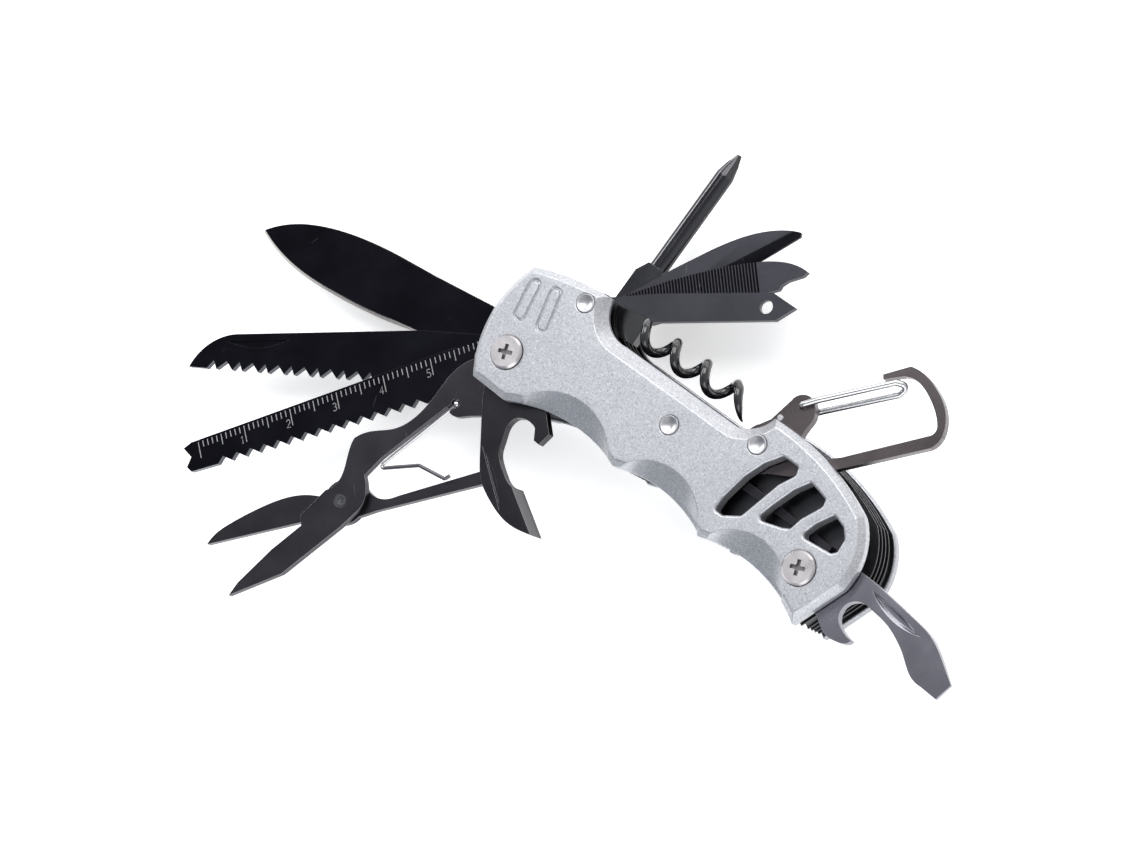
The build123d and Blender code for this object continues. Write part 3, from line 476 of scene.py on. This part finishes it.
# painted highlight on the upright walls: its tone where it isn't the lighter tone
TOOTH_WALL_HIGHLIGHT = {"saw": (0.13, 0.14, 0.155), "ruler": (0.13, 0.14, 0.155)}
# the width of a rounded edge in millimetres, and the tools that differ
EDGE = 0.12
EDGES = {"knife": 0.08, "ruler": 0.08, "saw": 0.08, "carabiner_frame": 0.16}


def tool_material(node):
    (dark, light, ground), roughness = FINISHES[node]
    return tool_steel(node + "_steel", dark, light, roughness, OPEN_AT[node], ground, TOOTH_WALL_HIGHLIGHT.get(node))


for node in FINISHES:
    if node != "file":
        softened(node, EDGES.get(node, EDGE), tool_material(node))

for node in ("scissors_spring", "carabiner_gate", "carabiner_pin"):
    dress(node, wire_steel)
# the arm painted darker than the leg and bend as shade
dress("scissors_spring_arm", dark_wire)

# scissors spring: the wire's bend between its fixed leg and its arm, in lengths along and across the scissors
BEND_PATH = [
    (31.4, -1.34), (32.3, -1.36), (32.8, -1.3), (33.12, -1.14), (33.22, -0.92), (33.12, -0.66), (32.9, -0.48),
]
BEND_Z = 14.2
BEND_R = 0.36


def bend_wire():
    """Joins the spring's leg and arm with a short bend that rides on the scissors blade."""
    tool = Tool("scissors_fold", OPEN_AT["scissors_blade"])
    path = [tool.at(along, left, BEND_Z) for along, left in BEND_PATH]
    bend = tubes("scissors_spring_bend", [path], BEND_R)
    shade_smooth(bend, 50.0)
    bend.data.materials.append(wire_steel)
    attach(bend, "scissors_blade")


bend_wire()

# file: cross-cut grooves over the blade, between the tang and the point
FILE_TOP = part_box("file")[1][2] / MM
FILE_CUTS = (4.0, 29.6)
CUT_PITCH = 0.6
CUT_DEPTH = 0.2
CUT_HALF_W = 0.3
CUT_OVER = 0.1
CUT_REACH = 6.0
CUT_LEAN = 0.02


def cut_file():
    """Cuts a row of shallow grooves with triangular section across the file."""
    tool = Tool("file_fold", OPEN_AT["file"])
    corners, faces = [], []
    along = FILE_CUTS[0]
    while along < FILE_CUTS[1]:
        first = len(corners)
        for left in (-CUT_REACH, CUT_REACH):
            lean = CUT_LEAN * left
            corners.append(tool.at(along + lean, left, FILE_TOP - CUT_DEPTH))
            corners.append(tool.at(along + lean + CUT_HALF_W, left, FILE_TOP + CUT_OVER))
            corners.append(tool.at(along + lean - CUT_HALF_W, left, FILE_TOP + CUT_OVER))
        faces.append((first, first + 1, first + 2))
        faces.append((first + 3, first + 5, first + 4))
        for one, two in ((0, 1), (1, 2), (2, 0)):
            faces.append((first + one, first + 3 + one, first + 3 + two, first + two))
        along += CUT_PITCH
    cutter = mesh_from("file_cutter", corners, faces)
    shape = bmesh.new()
    shape.from_mesh(cutter.data)
    bmesh.ops.recalc_face_normals(shape, faces=shape.faces)
    shape.to_mesh(cutter.data)
    shape.free()
    piece = copy_of("file", "_cut")
    grooves = piece.modifiers.new("grooves", "BOOLEAN")
    grooves.object = cutter
    grooves.operation = "DIFFERENCE"
    bake(piece)
    bpy.data.objects.remove(cutter)
    shade_smooth(piece, 25.0)
    stand_for(piece, "file", tool_material("file"))


cut_file()

# ruler: etched centimetre scale along the straight edge, in millimetres from the pivot
RULER_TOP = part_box("ruler")[1][2] / MM
MARK_T = 0.02
ZERO_AT = 69.9
EDGE_FAR = (71.4, -3.1)
EDGE_SLOPE = 4.4 / 56.4
MARK_INSET = 0.45
MARK_LENGTHS = {"cm": 3.3, "half": 2.1, "mm": 1.25}
MARK_W = 0.18
DIGIT_W = 0.9
DIGIT_H = 1.55
DIGIT_STROKE_R = 0.11
DIGIT_SUNK = 0.07
DIGIT_BESIDE = 0.2
DIGIT_DOWN = 1.95
MARK_LEAN = 0.07
MILLIMETRES = 60
# each digit's strokes on a square of side 1, its foot at 0
DIGITS = {
    1: [(0.25, 0.78), (0.55, 1.0), (0.55, 0.0)],
    2: [(0.1, 0.78), (0.3, 0.97), (0.65, 1.0), (0.9, 0.8), (0.82, 0.55), (0.08, 0.0), (0.95, 0.0)],
    3: [(0.1, 0.9), (0.5, 1.0), (0.85, 0.82), (0.75, 0.58), (0.42, 0.53), (0.85, 0.42), (0.88, 0.16),
        (0.5, 0.0), (0.08, 0.1)],
    4: [(0.7, 0.0), (0.7, 1.0), (0.06, 0.3), (0.96, 0.3)],
    5: [(0.85, 1.0), (0.2, 1.0), (0.14, 0.56), (0.6, 0.62), (0.92, 0.38), (0.78, 0.06), (0.4, 0.0),
        (0.08, 0.1)],
    6: [(0.85, 0.92), (0.45, 0.95), (0.14, 0.55), (0.12, 0.2), (0.45, 0.0), (0.85, 0.12), (0.86, 0.42),
        (0.5, 0.56), (0.14, 0.4)],
}


def edge_line(along):
    """How far left of the ruler's axis its straight edge lies."""
    return EDGE_FAR[1] - (EDGE_FAR[0] - along) * EDGE_SLOPE


def etch_ruler():
    """Sets a mark at every millimetre along the straight edge, and a digit beside each centimetre's mark."""
    tool = Tool("ruler_fold", OPEN_AT["ruler"])
    corners, faces = [], []
    for step in range(MILLIMETRES + 1):
        kind = "cm" if step % 10 == 0 else "half" if step % 5 == 0 else "mm"
        length = MARK_LENGTHS[kind]
        along = ZERO_AT - step
        start = edge_line(along) + MARK_INSET
        end_along = along - MARK_LEAN * length
        outline = [(along - MARK_W / 2, start), (along + MARK_W / 2, start),
                   (end_along + MARK_W / 2, start + length), (end_along - MARK_W / 2, start + length)]
        prism(corners, faces, outline, tool, RULER_TOP - MARK_T, RULER_TOP + MARK_T)
    marks = mesh_from("ruler_marks", corners, faces)
    strokes = []
    for number, shape in DIGITS.items():
        foot = ZERO_AT - 10 * number + DIGIT_BESIDE
        base = edge_line(foot) + MARK_INSET + DIGIT_DOWN
        strokes.append([
            tool.at(foot + DIGIT_W * (1.0 - across), base + DIGIT_H * (1.0 - up), RULER_TOP - DIGIT_SUNK)
            for across, up in shape
        ])
    digits = tubes("ruler_digits", strokes, DIGIT_STROKE_R)
    white = etched_white()
    for piece in (marks, digits):
        piece.data.materials.append(white)
        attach(piece, "ruler")


etch_ruler()

# scissors rivet: a peened head with a dimple
RIVET_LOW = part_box("scissors_rivet")[0][2] / MM
RIVET_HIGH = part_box("scissors_rivet")[1][2] / MM
RIVET_PROFILE = [
    (0.0, RIVET_LOW), (1.1, RIVET_LOW), (1.2, RIVET_LOW + 0.1), (1.2, RIVET_HIGH - 0.1), (1.12, RIVET_HIGH),
    (0.74, RIVET_HIGH), (0.66, RIVET_HIGH - 0.12), (0.5, RIVET_HIGH - 0.14), (0.42, RIVET_HIGH - 0.04),
    (0.2, RIVET_HIGH - 0.02), (0.0, RIVET_HIGH - 0.1),
]
peened = turned("scissors_rivet_head", [hinge_at["scissors_snip"]], RIVET_PROFILE)
shade_smooth(peened, 40.0)
stand_for(peened, "scissors_rivet", bright_steel("peened_steel", (0.12, 0.12, 0.13), 0.3))

dress("corkscrew", gloss_black())


# ---------------------------------------------------------------- floor, light and camera
# half the floor's side in metres, and its distance under the tool in millimetres
FLOOR_HALF = 3
FLOOR_GAP = 0.2


def make_floor():
    """A wide pale floor just under the rear scale."""
    mesh = bpy.data.meshes.new("floor")
    corners = [(-FLOOR_HALF, -FLOOR_HALF, 0), (FLOOR_HALF, -FLOOR_HALF, 0)]
    corners += [(FLOOR_HALF, FLOOR_HALF, 0), (-FLOOR_HALF, FLOOR_HALF, 0)]
    mesh.from_pydata(corners, [], [(0, 1, 2, 3)])
    floor = link("floor", mesh)
    floor.location.z = -FLOOR_GAP * MM
    recipe = Recipe("floor_white")
    recipe.shade(Base_Color=(0.9, 0.9, 0.9, 1.0), Roughness=0.8)
    recipe.shade(Emission_Color=(1.0, 1.0, 1.0, 1.0), Emission_Strength=0.5)
    floor.data.materials.append(recipe.material)


def make_light(name, place, size, power):
    """A rectangular softbox aimed at the middle of the tool, in metres and watts."""
    data = bpy.data.lights.new(name, "AREA")
    data.shape = "RECTANGLE"
    data.size, data.size_y = size
    data.energy = power
    lamp = bpy.data.objects.new(name, data)
    bpy.context.scene.collection.objects.link(lamp)
    lamp.location = place
    lamp.rotation_euler = (-Vector(place)).to_track_quat("-Z", "Y").to_euler()


# the room's tones, and how far either way across it they blend
BELLY_SIDE = (0.27, 0.3, 0.34)
BACK_SIDE = (0.85, 0.85, 0.85)
BLEND_REACH = 0.7


def make_world():
    """A pale room, brighter behind the back edge and duller and bluer on the belly side."""
    world = bpy.data.worlds.new("studio")
    bpy.context.scene.world = world
    world.use_nodes = True
    tree = world.node_tree
    where = tree.nodes.new("ShaderNodeTexCoord")
    parts = tree.nodes.new("ShaderNodeSeparateXYZ")
    tree.links.new(where.outputs["Generated"], parts.inputs[0])
    share = tree.nodes.new("ShaderNodeMapRange")
    share.inputs["From Min"].default_value = -BLEND_REACH
    share.inputs["From Max"].default_value = BLEND_REACH
    tree.links.new(parts.outputs["Y"], share.inputs["Value"])
    room = tree.nodes.new("ShaderNodeMix")
    room.data_type = "RGBA"
    room.inputs[6].default_value = (*BELLY_SIDE, 1.0)
    room.inputs[7].default_value = (*BACK_SIDE, 1.0)
    tree.links.new(share.outputs[0], room.inputs[0])
    tree.links.new(room.outputs[2], tree.nodes["Background"].inputs["Color"])


CAMERA_AT = Vector((0.2764, 0.0325, 0.6279))
CAMERA_RIGHT = Vector((0.7229, 0.5728, -0.3866))
CAMERA_UP = Vector((-0.5375, 0.8176, 0.2063))
SENSOR = 36.0
FOCAL_OVER_WIDTH = 3.299


def make_camera():
    """A long lens above the tail, turned so that the handle runs down to the right."""
    data = bpy.data.cameras.new("camera")
    data.sensor_width = SENSOR
    data.lens = SENSOR * FOCAL_OVER_WIDTH
    data.clip_start = 0.01
    camera = bpy.data.objects.new("camera", data)
    bpy.context.scene.collection.objects.link(camera)
    right = CAMERA_RIGHT.normalized()
    up = (CAMERA_UP - right * CAMERA_UP.dot(right)).normalized()
    back = right.cross(up)
    turn = Matrix((right, up, back)).transposed()
    camera.matrix_world = Matrix.Translation(CAMERA_AT) @ turn.to_4x4()
    bpy.context.scene.camera = camera


make_floor()
make_light("key", (-0.35, 0.5, 0.9), (0.9, 0.6), 6.8)
make_light("back", (-0.4, 1.0, 0.3), (1.3, 0.4), 2.5)
make_light("side", (-1.0, 0.0, 0.5), (0.7, 0.16), 3.0)
make_light("fill", (0.5, -0.5, 0.5), (0.7, 0.7), 3.2)
make_world()
make_camera()
bpy.context.scene.view_settings.view_transform = "Standard"
